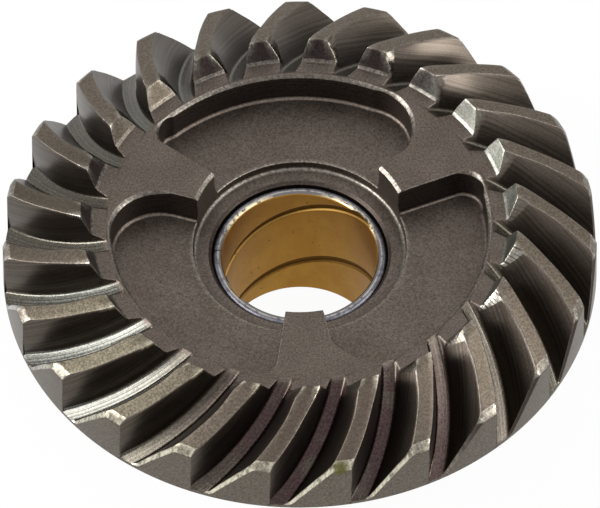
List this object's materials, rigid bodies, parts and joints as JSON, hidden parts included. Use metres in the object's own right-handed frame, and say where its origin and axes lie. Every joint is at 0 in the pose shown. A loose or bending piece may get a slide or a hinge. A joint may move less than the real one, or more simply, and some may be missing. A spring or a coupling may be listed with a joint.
{
  "type": "outboard forward gear",
  "caption": "Spiral bevel ring gear with a dog-clutch front face, a hub journal for a bearing and a pressed-in steel-backed bronze bush with helical oil grooves.",
  "frame": {"origin": "on the gear axis at the hub end, which the part stands on", "axes": "+Z along the axis from the hub end towards the toothed front face; +X to the right and -Y towards the viewer of the picture"},
  "size_m": [0.084, 0.084, 0.0331],
  "materials": {
    "gear_steel": "case-hardened steel, brownish grey, fine grained and semi-matt, with ground bright edges on the teeth",
    "bush_steel": "machined mild steel back of the bush",
    "bush_bronze": "sintered bronze lining, golden brown, satin"
  },
  "bodies": {
    "root": {"gear_body": "gear_steel", "bush_shell": "bush_steel", "bush_lining": "bush_bronze"}
  },
  "joints": []
}
